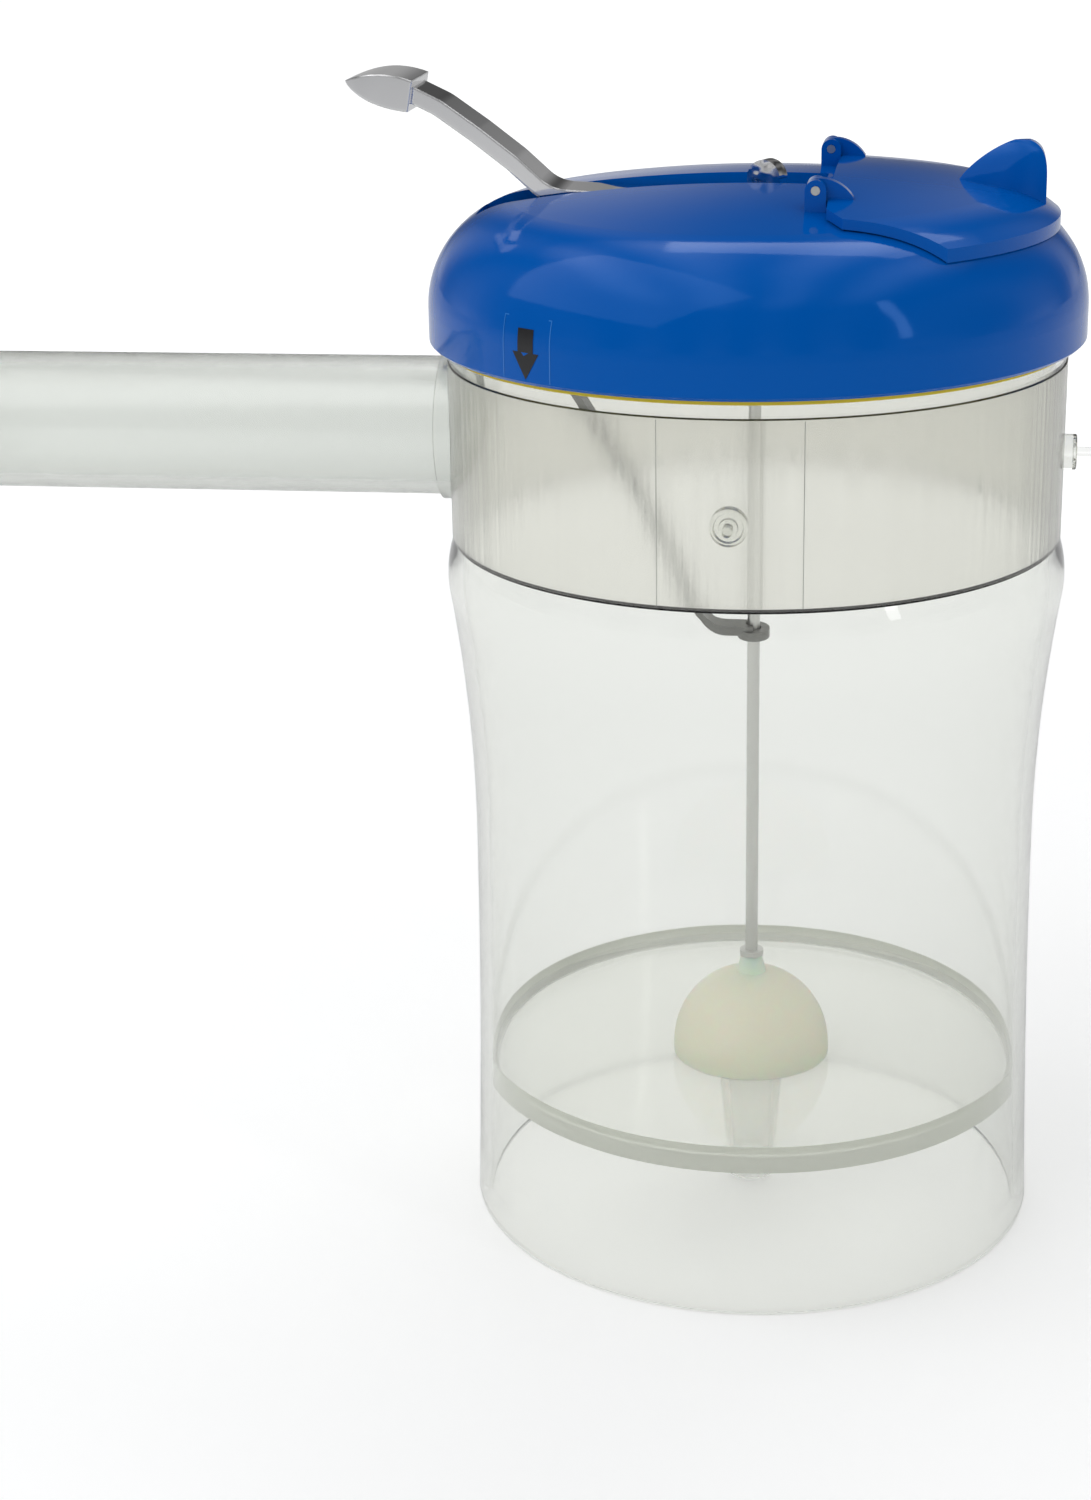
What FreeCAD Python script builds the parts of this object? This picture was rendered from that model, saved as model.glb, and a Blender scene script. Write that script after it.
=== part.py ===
import FreeCAD, Part
import math
import os
import Sketcher

# Gravy separator: a clear jug with a bottom outlet, a blue lid with a filling flap,
# and a lever that lifts a silicone valve on a rod. Millimetres, +Z up, origin on the
# jug's axis at its foot, handle towards -X.

# Driving sizes
SIZES = {
    "band_radius": 59.0,
    "band_wall": 2.2,
    "band_height": 42.8,
    "waist_draw": 3.1,
    "foot_flare": 1.6,
    "bulge_flare": 3.75,
    "jug_wall": 2.5,
    "foot_edge": 0.8,
    "waist_height": 82.0,
    "bulge_drop": 11.8,
    "shoulder_sweep": 21.0,
    "ledge_height": 141.8,
    "ledge_draw": 0.3,
    "ledge_lip": 0.5,
    "ledge_step": 0.6,
    "collar_drop": 8.1,
    "collar_step": 0.25,
    "floor_height": 32.0,
    "floor_fall": 1.8,
    "floor_thickness": 2.5,
    "floor_corner": 3.0,
    "seat_radius": 18.0,
    "spout_top_radius": 6.75,
    "spout_tip_radius": 4.9,
    "spout_top_bore": 5.0,
    "spout_tip_bore": 3.6,
    "spout_recess": 2.0,
    "gate_rise": 16.2,
    "gate_radius": 3.4,
    "gate_proud": 2.3,
    "gate_root": 1.0,
    "sprue_radius": 0.95,
    "sprue_length": 3.0,
    "handle_rise": 19.7,
    "handle_radius": 13.5,
    "handle_wall": 2.4,
    "handle_length": 106.0,
    "weld_proud": 0.9,
    "weld_width": 1.6,
    "cap_dome": 5.0,
    "cap_spigot": 8.0,
    "cap_wall": 2.2,
    "press_gap": 0.05,
    "rest_gap": 0.2,
    "seal_gap": 0.3,
    "seal_thickness": 0.7,
    "seal_height": 4.0,
    "seal_drop": 1.0,
    "lid_wall": 2.3,
    "trim_spare": 1.0,
    "lid_overlap": 4.2,
    "lid_edge": 0.6,
    "flange_thickness": 2.05,
    "flange_reach": 0.5,
    "lid_shoulder": 19.5,
    "crown_rise": 3.4,
    "slot_width": 14.6,
    "slot_back": 52.5,
    "slot_front": 13.2,
    "opening_back": 20.0,
    "opening_half": 33.0,
    "opening_radius": 48.0,
    "well_wall": 1.8,
    "well_depth": 13.0,
    "well_lip": 1.4,
    "strainer_thickness": 1.6,
    "strainer_gap": 0.15,
    "strainer_hole": 1.5,
    "strainer_pitch": 6.0,
    "strainer_land": 1.0,
    "hinge_front": 12.7,
    "hinge_rise": 3.5,
    "hinge_spread": 28.0,
    "ear_radius": 1.9,
    "ear_thickness": 1.7,
    "knuckle_thickness": 2.2,
    "knuckle_length": 6.6,
    "knuckle_bow": 7.2,
    "hinge_gap": 0.3,
    "hinge_pin": 0.8,
    "pin_gap": 0.05,
    "flap_gap": 0.3,
    "flap_thickness": 1.8,
    "flap_back": 14.9,
    "flap_back_half": 36.0,
    "flap_step": 18.0,
    "flap_step_half": 41.5,
    "flap_corner_half": 43.4,
    "flap_reach": 56.5,
    "fin_end": 53.6,
    "lever_pivot_back": 36.0,
    "lever_pivot_drop": 8.25,
    "lever_width": 12.0,
    "lever_thickness": 3.0,
    "lever_bend": 9.0,
    "pad_width": 17.0,
    "pad_tip_draw": 0.2,
    "web_height": 4.4,
    "lug_radius": 3.6,
    "lug_width": 7.2,
    "pivot_pin": 1.75,
    "pivot_head": 3.0,
    "pivot_head_thickness": 1.0,
    "clip_thickness": 0.8,
    "spring_wire": 0.45,
    "spring_coil": 2.9,
    "spring_pitch": 1.05,
    "spring_tail": 4.64,
    "bracket_gap": 0.5,
    "bracket_wall": 1.4,
    "bracket_front": 26.5,
    "bracket_back": 46.0,
    "bracket_flange": 8.0,
    "bracket_ear": 3.5,
    "bracket_rise": 2.8,
    "boss_radius": 3.4,
    "boss_drop": 7.8,
    "screw_spread": 12.0,
    "screw_front": 29.5,
    "screw_back": 42.8,
    "screw_radius": 1.3,
    "screw_head": 2.6,
    "screw_head_height": 1.6,
    "screw_head_draw": 0.7,
    "screw_length": 5.0,
    "guide_height": 120.0,
    "guide_width": 5.0,
    "guide_thickness": 1.4,
    "guide_bend": 7.0,
    "guide_drop": 3.0,
    "guide_hook": 1.8,
    "bar_margin": 0.6,
    "bar_lap": 1.0,
    "eyelet_radius": 3.2,
    "eyelet_gap": 0.3,
    "rod_radius": 1.25,
    "rod_end_drop": 2.0,
    "rod_slot_half": 2.1,
    "rod_slot_gap": 0.3,
    "rod_slot_shift": 0.5,
    "head_radius": 3.5,
    "head_shift": 2.3,
    "head_thickness": 3.0,
    "head_turn": 25.0,
    "head_seat": 1.1,
    "head_flank": 1.6,
    "head_socket": 1.6,
    "collar_radius": 2.4,
    "collar_thickness": 1.2,
    "rod_clip_radius": 2.8,
    "rod_clip_drop": 0.9,
    "dome_radius": 16.0,
    "dome_height": 17.5,
    "dome_lip": 1.6,
    "dome_neck": 3.0,
    "dome_neck_wall": 0.8,
    "dome_bow": 0.4,
    "dome_neck_height": 3.5,
    "dome_recess": 6.0,
    "dome_recess_depth": 1.8,
    "washer_radius": 5.0,
    "washer_thickness": 0.8,
    "nut_radius": 2.7,
    "nut_height": 1.8,
}

# Corner points of the lever's middle line at rest, from its pivot: (along X, up)
LEVER_LINE = [
    (-31.0, 25.0), (-28.4, 24.2), (-23.4, 21.8), (-16.3, 16.8),
    (-9.4, 11.5), (-2.6, 5.3), (9.0, 4.6), (36.5, 4.0), (48.2, 3.3),
]

# The thumb pad's side outline at rest, from the lever's pivot
PAD_TIP = (-41.6, 26.4)
PAD_CREST = (-34.6, 28.1)
PAD_END_TOP = (-27.5, 26.9)
PAD_END_UNDER = (-28.5, 21.2)
PAD_UNDER = (-36.6, 23.4)

# Corner points of the guide arm's middle line: (X, height above the eyelet)
GUIDE_LINE = [(0.0, 0.0), (-8.5, 0.0), (-12.3, 6.0), (-15.2, 14.0), (-21.9, 28.0), (-32.5, 45.0), (-49.5, 72.0)]

# Level sections of the thumb fin: (height from the lid's top, tip X, half width)
FIN_SECTIONS = [(-7.5, 36.6, 4.5), (-0.6, 37.5, 4.3), (3.2, 41.0, 3.6), (5.6, 44.6, 2.5), (6.9, 47.6, 1.0)]
FIN_END_DRAW = [0.0, 0.0, 0.2, 1.2, 3.2]

doc = FreeCAD.newDocument("GravySeparator")
sheet = doc.addObject("Spreadsheet::Sheet", "Sizes")
for row, (alias, number) in enumerate(SIZES.items(), start=1):
    sheet.set(f"A{row}", alias)
    sheet.set(f"B{row}", str(number))
    sheet.setAlias(f"B{row}", alias)
doc.recompute()


class Dim:
    """A size that keeps its value and the sheet expression that gives it."""

    def __init__(self, number, text=None):
        self.number = float(number)
        self.text = text if text is not None else repr(float(number))

    def joined(self, other, sign, number):
        return Dim(number, f"({self.text} {sign} {dim(other).text})")

    def __add__(self, other):
        return self.joined(other, "+", self.number + dim(other).number)

    def __sub__(self, other):
        return self.joined(other, "-", self.number - dim(other).number)

    def __mul__(self, other):
        return self.joined(other, "*", self.number * dim(other).number)

    def __truediv__(self, other):
        return self.joined(other, "/", self.number / dim(other).number)

    def __neg__(self):
        return Dim(0) - self


def dim(value):
    return value if isinstance(value, Dim) else Dim(value)


def root(value):
    return Dim(math.sqrt(value.number), f"sqrt({value.text})")


def size(alias):
    return Dim(getattr(sheet, alias), f"Sizes.{alias}")


# Sizes worked out from the driving ones
z = Dim(0)
band_radius = size("band_radius")
band_inner = band_radius - size("band_wall")
waist_radius = band_radius - size("waist_draw")
waist_inner = waist_radius - size("jug_wall")
waist_height = size("waist_height")
foot_radius = waist_radius + size("foot_flare")
ledge_height = size("ledge_height")
bulge_height = ledge_height - size("bulge_drop")
bulge_radius = waist_radius + size("bulge_flare")
rim_height = ledge_height + size("band_height")
collar_height = rim_height - size("collar_drop")
collar_radius = band_radius - size("collar_step")
seat_height = size("floor_height") - size("floor_fall")
floor_under = size("floor_height") - size("floor_thickness")
handle_height = ledge_height + size("handle_rise")


def sagitta_radius(rise, run):
    """Radius of the arc that starts along the run and rises by the given amount."""
    return (rise * rise + run * run) / (rise * 2)


foot_sweep = sagitta_radius(size("foot_flare"), waist_height - size("foot_edge"))
bulge_sweep = sagitta_radius(size("bulge_flare"), bulge_height - waist_height)


def inner_radius(height):
    """Inner radius of the tapering skirt and chamber wall at a height below the waist."""
    sweep = foot_sweep + size("jug_wall")
    drop = waist_height - height
    return waist_inner + sweep - root(sweep * sweep - drop * drop)


# The lid's outer surface: a skirt, a shoulder arc and a crown arc that meet tangent
skirt_inner = band_radius + size("seal_gap") + size("seal_thickness")
lid_radius = skirt_inner + size("lid_wall")
lid_rim = rim_height - size("lid_overlap")
lid_ledge = rim_height + size("rest_gap")
shoulder_height = lid_ledge + size("flange_thickness")
lid_shoulder = size("lid_shoulder")
shoulder_centre = lid_radius - lid_shoulder
crown_rise = size("crown_rise")
crown_sweep = (
    shoulder_centre * shoulder_centre + crown_rise * crown_rise + lid_shoulder * crown_rise * 2
) / (crown_rise * 2)
lid_top = shoulder_height + lid_shoulder + crown_rise
crown_centre = lid_top - crown_sweep


def crown_end(offset):
    """Where crown and shoulder meet, on a surface offset outwards from the lid's."""
    share = (crown_sweep + offset) / (crown_sweep - lid_shoulder)
    return shoulder_centre * share, crown_centre + (shoulder_height - crown_centre) * share


def lid_surface(radius):
    """Height of the lid's outer crown at a distance from the axis."""
    return crown_centre + root(crown_sweep * crown_sweep - radius * radius)


hinge_height = lid_surface(root(size("hinge_front") * size("hinge_front")
                                + size("hinge_spread") * size("hinge_spread"))) + size("hinge_rise")
pivot_height = lid_top - size("lever_pivot_drop")
boss_height = lid_top - size("boss_drop")
knuckle_half = size("knuckle_thickness") / 2
ear_inner = knuckle_half + size("hinge_gap")
ear_outer = ear_inner + size("ear_thickness")
well_floor = lid_top - size("well_depth")
bracket_inner = size("lever_width") / 2 + size("bracket_gap")
bracket_outer = bracket_inner + size("bracket_wall")
flange_top = boss_height
flange_under = flange_top - size("bracket_wall")
guide_height = size("guide_height")
dome_base = seat_height + size("rest_gap")
dome_top = dome_base + size("dome_height")
neck_top = dome_top + size("dome_neck_height")
lever_top = pivot_height + LEVER_LINE[-2][1] + size("lever_thickness") / 2


# Keeps the radius of a half-round end a hair above half its width
ARC_SPARE = Dim(0.0001)


# Drawing and feature helpers
def new_body(name):
    body = doc.addObject("PartDesign::Body", name)
    body.Label = name
    return body


def new_sketch(body, plane_role, name, offset=None):
    """A sketch on one of the body's own planes, moved along the plane's normal."""
    plane = [item for item in body.Origin.OriginFeatures if item.Role == plane_role][0]
    sketch = body.newObject("Sketcher::SketchObject", name)
    sketch.AttachmentSupport = [(plane, "")]
    sketch.MapMode = "FlatFace"
    if offset is not None:
        sketch.AttachmentOffset = FreeCAD.Placement(
            FreeCAD.Vector(0, 0, offset.number), FreeCAD.Rotation()
        )
        sketch.setExpression("AttachmentOffset.Base.z", offset.text)
    return sketch


def bind(sketch, kind, *where, value):
    """Adds a driving dimension to a sketch and ties it to the sheet."""
    index = sketch.addConstraint(Sketcher.Constraint(kind, *where, value.number))
    sketch.setExpression(f"Constraints[{index}]", value.text)


def place_point(sketch, edge, end, across, up):
    """Fixes one end of an edge at a distance from the sketch's two axes."""
    if across.number == 0:
        sketch.addConstraint(Sketcher.Constraint("PointOnObject", edge, end, -2))
    else:
        bind(sketch, "DistanceX", -1, 1, edge, end, value=across)
    if up.number == 0:
        sketch.addConstraint(Sketcher.Constraint("PointOnObject", edge, end, -1))
    else:
        bind(sketch, "DistanceY", -1, 1, edge, end, value=up)


def draw_outline(sketch, corners):
    """Draws a closed outline. A corner is (across, up) or (across, up, radius): the radius
    belongs to the arc that leads to the next corner, left-turning when positive."""
    points = [FreeCAD.Vector(dim(c[0]).number, dim(c[1]).number, 0) for c in corners]
    first_edge = sketch.GeometryCount
    ends = []
    for index, corner in enumerate(corners):
        start = points[index]
        stop = points[(index + 1) % len(points)]
        if len(corner) == 2:
            sketch.addGeometry(Part.LineSegment(start, stop))
            ends.append((1, 2))
            continue
        radius = corner[2].number
        middle = (start + stop) / 2
        chord = stop - start
        side = FreeCAD.Vector(-chord.y, chord.x, 0).normalize()
        reach = math.sqrt(radius * radius - chord.Length * chord.Length / 4)
        centre = middle + side * math.copysign(reach, radius)
        first, last = (start, stop) if radius > 0 else (stop, start)
        from_angle = math.atan2(first.y - centre.y, first.x - centre.x)
        to_angle = math.atan2(last.y - centre.y, last.x - centre.x)
        if to_angle < from_angle:
            to_angle += 2 * math.pi
        circle = Part.Circle(centre, FreeCAD.Vector(0, 0, 1), abs(radius))
        sketch.addGeometry(Part.ArcOfCircle(circle, from_angle, to_angle))
        ends.append((1, 2) if radius > 0 else (2, 1))
    for index, corner in enumerate(corners):
        edge = first_edge + index
        following = (index + 1) % len(corners)
        next_edge = first_edge + following
        sketch.addConstraint(
            Sketcher.Constraint("Coincident", edge, ends[index][1], next_edge, ends[following][0])
        )
        place_point(sketch, edge, ends[index][0], dim(corner[0]), dim(corner[1]))
        if len(corner) == 3:
            radius = corner[2] if corner[2].number > 0 else -corner[2]
            bind(sketch, "Radius", edge, value=radius)


def draw_box(sketch, left, right, low, high):
    draw_outline(sketch, [(left, low), (right, low), (right, high), (left, high)])


def draw_circle(sketch, across, up, radius):
    centre = FreeCAD.Vector(dim(across).number, dim(up).number, 0)
    circle = Part.Circle(centre, FreeCAD.Vector(0, 0, 1), radius.number)
    index = sketch.addGeometry(circle)
    place_point(sketch, index, 3, dim(across), dim(up))
    bind(sketch, "Radius", index, value=radius)


def revolve(body, sketch, kind="PartDesign::Revolution"):
    feature = body.newObject(kind, sketch.Name + "_turned")
    feature.Profile = sketch
    feature.ReferenceAxis = (sketch, ["V_Axis"])
    feature.Angle = 360.0
    doc.recompute()
    return feature


def pad(body, sketch, length, symmetric=False):
    feature = body.newObject("PartDesign::Pad", sketch.Name + "_pad")
    feature.Profile = sketch
    feature.Length = length.number
    feature.setExpression("Length", length.text)
    if symmetric:
        feature.SideType = "Symmetric"
    doc.recompute()
    return feature


def pocket(body, sketch):
    """Cuts a sketch right through the body, both ways, and checks that it cuts."""
    before = body.Shape.Volume
    feature = body.newObject("PartDesign::Pocket", sketch.Name + "_cut")
    feature.Profile = sketch
    feature.SideType = "Symmetric"
    feature.Type = "ThroughAll"
    doc.recompute()
    if body.Shape.Volume >= before:
        raise RuntimeError(f"{feature.Name} cut nothing")
    return feature


def pocket_up(body, sketch, depth=None):
    """Cuts a sketch upwards from its plane, to a depth or right through, and checks it."""
    before = body.Shape.Volume
    feature = body.newObject("PartDesign::Pocket", sketch.Name + "_cut")
    feature.Profile = sketch
    feature.Reversed = True
    if depth is None:
        feature.Type = "ThroughAll"
    else:
        feature.setExpression("Length", depth.text)
    doc.recompute()
    if body.Shape.Volume >= before:
        raise RuntimeError(f"{feature.Name} cut nothing")
    return feature


def groove(body, sketch):
    before = body.Shape.Volume
    feature = revolve(body, sketch, "PartDesign::Groove")
    if body.Shape.Volume >= before:
        raise RuntimeError(f"{feature.Name} cut nothing")
    return feature


def place_at(item, x_at=None, y_at=None, z_at=None, turn=None):
    """Places a primitive by expressions, turned about an axis if one is given."""
    rotation = FreeCAD.Rotation(turn[0], turn[1]) if turn else FreeCAD.Rotation()
    spot = [dim(value) if value is not None else Dim(0) for value in (x_at, y_at, z_at)]
    item.Placement = FreeCAD.Placement(FreeCAD.Vector(*[value.number for value in spot]), rotation)
    for letter, value in zip("xyz", spot):
        if value.number:
            item.setExpression(f"Placement.Base.{letter}", value.text)


def cylinder(name, radius, height, x_at=None, y_at=None, z_at=None, turn=None):
    item = doc.addObject("Part::Cylinder", name)
    item.setExpression("Radius", radius.text)
    item.setExpression("Height", height.text)
    place_at(item, x_at, y_at, z_at, turn)
    return item


def cone(name, low_radius, high_radius, height, x_at=None, y_at=None, z_at=None, turn=None):
    item = doc.addObject("Part::Cone", name)
    item.setExpression("Radius1", low_radius.text)
    item.setExpression("Radius2", high_radius.text)
    item.setExpression("Height", height.text)
    place_at(item, x_at, y_at, z_at, turn)
    return item


def box(name, spans, turn=None):
    """A block from (low, high) along X, Y and Z."""
    item = doc.addObject("Part::Box", name)
    for side, (low, high) in zip(("Length", "Width", "Height"), spans):
        item.setExpression(side, (dim(high) - dim(low)).text)
    place_at(item, *[dim(low) for low, high in spans], turn=turn)
    return item


def fused(name, items):
    item = doc.addObject("Part::MultiFuse", name)
    item.Shapes = items
    item.Label = name
    doc.recompute()
    return item


def cut_from(name, base, tool):
    doc.recompute()
    before = base.Shape.Volume
    item = doc.addObject("Part::Cut", name)
    item.Base = base
    item.Tool = tool
    item.Label = name
    doc.recompute()
    if item.Shape.Volume >= before:
        raise RuntimeError(f"{name} cut nothing")
    return item


ALONG_Y = (FreeCAD.Vector(1, 0, 0), -90)


def rounded_line(points, radius):
    """Straight runs through the points, joined by tangent arcs."""
    edges = []
    start = points[0]
    for before, corner, after in zip(points, points[1:], points[2:]):
        back = (before - corner).normalize()
        on = (after - corner).normalize()
        half_turn = (math.pi - back.getAngle(on)) / 2
        room = 0.45 * min((before - corner).Length, (after - corner).Length)
        reach = min(radius * math.tan(half_turn), room)
        bend = reach / math.tan(half_turn)
        middle = corner + (back + on).normalize() * (math.hypot(bend, reach) - bend)
        edges.append(Part.LineSegment(start, corner + back * reach).toShape())
        edges.append(Part.Arc(corner + back * reach, middle, corner + on * reach).toShape())
        start = corner + on * reach
    edges.append(Part.LineSegment(start, points[-1]).toShape())
    return Part.Wire(edges)


def strip_shape(points, thickness, width, radius):
    """A flat strip bent along points in the XZ plane, centred on Y = 0."""
    line = rounded_line([FreeCAD.Vector(x, 0, up) for x, up in points], radius)
    sides = [
        line.makeOffset2D(side * thickness / 2, 0, True, True, False).extrude(FreeCAD.Vector(0, width, 0))
        for side in (1, -1)
    ]
    solid = sides[0].fuse(sides[1]).removeSplitter()
    solid.translate(FreeCAD.Vector(0, -width / 2, 0))
    return solid


def shape_feature(name, shape):
    item = doc.addObject("Part::Feature", name)
    item.Shape = shape
    item.Label = name
    return item


# Jug: foot skirt, waist, bulge, ledge, straight band and rim, with a floor across it
def make_jug_body():
    body = new_body("jug_body")
    profile = new_sketch(body, "XZ_Plane", "jug_profile")
    wall = size("jug_wall")
    corner_radius = inner_radius(size("floor_height"))
    under_radius = inner_radius(floor_under)
    outlet = size("spout_top_radius") + size("press_gap")
    draw_outline(profile, [
        (inner_radius(z), z),
        (foot_radius - size("foot_edge"), z, size("foot_edge")),
        (foot_radius, size("foot_edge"), -foot_sweep),
        (waist_radius, waist_height, -bulge_sweep),
        (bulge_radius, bulge_height, size("shoulder_sweep")),
        (band_radius - size("ledge_draw"), ledge_height),
        (band_radius, ledge_height + size("ledge_lip")),
        (band_radius, collar_height),
        (collar_radius, collar_height + size("collar_step")),
        (collar_radius, rim_height),
        (band_inner, rim_height),
        (band_inner, ledge_height + size("ledge_lip")),
        (band_inner - size("ledge_step"), ledge_height),
        (bulge_radius - wall, bulge_height, bulge_sweep + wall),
        (waist_inner, waist_height, foot_sweep + wall),
        (inner_radius(size("floor_height") + size("floor_corner")),
         size("floor_height") + size("floor_corner"), -size("floor_corner")),
        (corner_radius - size("floor_corner"), size("floor_height")),
        (size("seat_radius"), seat_height),
        (outlet, seat_height),
        (outlet, seat_height - size("floor_thickness")),
        (size("seat_radius"), seat_height - size("floor_thickness")),
        (under_radius, floor_under, foot_sweep + wall),
    ])
    revolve(body, profile)
    for plane, name in (("XZ_Plane", "front_gate"), ("YZ_Plane", "side_gate")):
        root_at = band_radius - size("gate_root")
        boss = new_sketch(body, plane, name, root_at)
        draw_circle(boss, z, ledge_height + size("gate_rise"), size("gate_radius"))
        pad(body, boss, size("gate_root") + size("gate_proud"))
        sprue = new_sketch(body, plane, name + "_sprue", root_at)
        draw_circle(sprue, z, ledge_height + size("gate_rise"), size("sprue_radius"))
        pad(body, sprue, size("gate_root") + size("gate_proud") + size("sprue_length"))
    return body


def make_outlet_spout():
    body = new_body("outlet_spout")
    profile = new_sketch(body, "XZ_Plane", "spout_profile")
    draw_outline(profile, [
        (size("spout_tip_bore"), size("spout_recess")),
        (size("spout_tip_radius"), size("spout_recess")),
        (size("spout_top_radius"), seat_height - size("floor_thickness")),
        (size("spout_top_radius"), seat_height),
        (size("spout_top_bore"), seat_height),
    ])
    revolve(body, profile)
    return body


# Handle: a hollow tube welded to the band, closed by an end cap
handle_start = band_radius + size("press_gap")
handle_end = handle_start + size("handle_length")
handle_bore = size("handle_radius") - size("handle_wall")


def make_handle_tube():
    body = new_body("handle_tube")
    tube = new_sketch(body, "YZ_Plane", "tube_section", -handle_end)
    draw_circle(tube, z, handle_height, size("handle_radius"))
    draw_circle(tube, z, handle_height, handle_bore)
    pad(body, tube, size("handle_length") + size("handle_wall"))
    bead = new_sketch(body, "YZ_Plane", "weld_bead", -(handle_start + size("weld_width")))
    draw_circle(bead, z, handle_height, size("handle_radius") + size("weld_proud"))
    draw_circle(bead, z, handle_height, handle_bore)
    pad(body, bead, size("weld_width") + size("handle_wall"))
    saddle = new_sketch(body, "XY_Plane", "band_saddle")
    draw_circle(saddle, z, z, handle_start)
    pocket(body, saddle)
    return body


def make_handle_end_cap():
    body = new_body("handle_end_cap")
    profile = new_sketch(body, "XY_Plane", "cap_profile")
    spigot = handle_bore - size("press_gap")
    outer = handle_end + size("press_gap")
    crown = (size("handle_radius") * size("handle_radius") + size("cap_dome") * size("cap_dome"))
    crown = crown / (size("cap_dome") * 2)
    inner_end = outer - size("cap_spigot")
    draw_outline(profile, [
        (z, outer + size("cap_dome"), -crown),
        (size("handle_radius"), outer),
        (spigot, outer),
        (spigot, inner_end),
        (spigot - size("cap_wall"), inner_end),
        (spigot - size("cap_wall"), outer),
        (z, outer),
    ])
    revolve(body, profile)
    body.Placement = FreeCAD.Placement(
        FreeCAD.Vector(0, 0, handle_height.number), FreeCAD.Rotation(FreeCAD.Vector(0, 0, 1), 90)
    )
    body.setExpression("Placement.Base.z", handle_height.text)
    return body


# Lid shell: domed skin with a skirt, lever slot, filling well, bosses and hinge ears
def draw_fan(sketch, inset):
    """The filling opening's outline, drawn in by the given amount."""
    radius = size("opening_radius") - inset
    half = size("opening_half") - inset
    reach = root(radius * radius - half * half)
    back = size("opening_back") + inset
    draw_outline(sketch, [
        (back, -half),
        (reach, -half, radius),
        (reach, half),
        (back, half),
    ])


def make_lid_shell():
    body = new_body("lid_shell")
    wall = size("lid_wall")
    outer_end = crown_end(z)
    inner_end = crown_end(-wall)
    spare = size("trim_spare")
    spare_end = crown_end(spare)
    profile = new_sketch(body, "XZ_Plane", "lid_profile")
    draw_outline(profile, [
        (z, lid_top + spare, -(crown_sweep + spare)),
        (spare_end[0], spare_end[1], -(lid_shoulder + spare)),
        (lid_radius + spare, shoulder_height),
        (lid_radius, shoulder_height),
        (lid_radius, lid_rim + size("lid_edge")),
        (lid_radius - size("lid_edge"), lid_rim),
        (skirt_inner, lid_rim),
        (skirt_inner, lid_ledge),
        (band_inner + size("flange_reach"), lid_ledge),
        (band_inner + size("flange_reach"), shoulder_height),
        (lid_radius - wall, shoulder_height, lid_shoulder - wall),
        (inner_end[0], inner_end[1], crown_sweep - wall),
        (z, lid_top - wall),
    ])
    revolve(body, profile)

    well = new_sketch(body, "XY_Plane", "well_wall", well_floor)
    draw_fan(well, -size("well_wall"))
    draw_fan(well, size("well_lip"))
    pad(body, well, size("well_lip"))
    wall_ring = new_sketch(body, "XY_Plane", "well_ring", well_floor)
    draw_fan(wall_ring, -size("well_wall"))
    draw_fan(wall_ring, z)
    pad(body, wall_ring, size("well_depth"))
    bosses = new_sketch(body, "XY_Plane", "bracket_bosses", boss_height)
    for x_at in (-size("screw_front"), -size("screw_back")):
        for y_at in (size("screw_spread"), -size("screw_spread")):
            draw_circle(bosses, x_at, y_at, size("boss_radius"))
    pad(body, bosses, lid_top - boss_height)

    skin = new_sketch(body, "XZ_Plane", "skin_trim")
    margin = size("lid_wall") * 4
    draw_outline(skin, [
        (z, lid_top, -crown_sweep),
        (outer_end[0], outer_end[1], -lid_shoulder),
        (lid_radius, shoulder_height),
        (lid_radius + margin, shoulder_height),
        (lid_radius + margin, lid_top + margin),
        (z, lid_top + margin),
    ])
    groove(body, skin)

    filling = new_sketch(body, "XY_Plane", "filling_opening", well_floor + size("well_lip"))
    draw_fan(filling, z)
    pocket_up(body, filling)

    slot = new_sketch(body, "XY_Plane", "lever_slot", boss_height + size("lid_edge"))
    half_slot = size("slot_width") / 2
    draw_box(slot, -size("slot_back"), size("slot_front"), -half_slot, half_slot)
    pocket_up(body, slot)

    for x_at, under in ((-size("screw_front"), z), (-size("screw_back"), size("guide_thickness"))):
        pilots = new_sketch(body, "XY_Plane", "screw_pilots", boss_height)
        for y_at in (size("screw_spread"), -size("screw_spread")):
            draw_circle(pilots, x_at, y_at, size("screw_radius") + size("press_gap"))
        pocket_up(body, pilots, size("screw_length") - size("bracket_wall") - under + size("rest_gap"))

    root_height = lid_surface(size("hinge_spread") + ear_outer) - size("lid_wall")
    for side in (1, -1):
        for inner, outer in ((ear_inner, ear_outer), (-ear_outer, -ear_inner)):
            middle = size("hinge_spread") * side + (inner + outer) / 2
            ear = new_sketch(body, "XZ_Plane", f"ear_{side + 1}_{len(body.Group)}", -middle)
            left = size("hinge_front") - size("ear_radius")
            right = size("hinge_front") + size("ear_radius")
            draw_outline(ear, [
                (right, root_height),
                (right, hinge_height, size("ear_radius") + ARC_SPARE),
                (left, hinge_height),
                (left, root_height),
            ])
            pad(body, ear, size("ear_thickness"), symmetric=True)
    pin_hole = new_sketch(body, "XZ_Plane", "hinge_holes")
    draw_circle(pin_hole, size("hinge_front"), hinge_height, size("hinge_pin") + size("press_gap"))
    pocket(body, pin_hole)
    return body


def make_lid_seal():
    body = new_body("lid_seal")
    profile = new_sketch(body, "XZ_Plane", "seal_profile")
    draw_box(profile, band_radius + size("seal_gap"), skirt_inner,
             lid_rim - size("seal_drop"), lid_rim - size("seal_drop") + size("seal_height"))
    revolve(body, profile)
    return body


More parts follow.
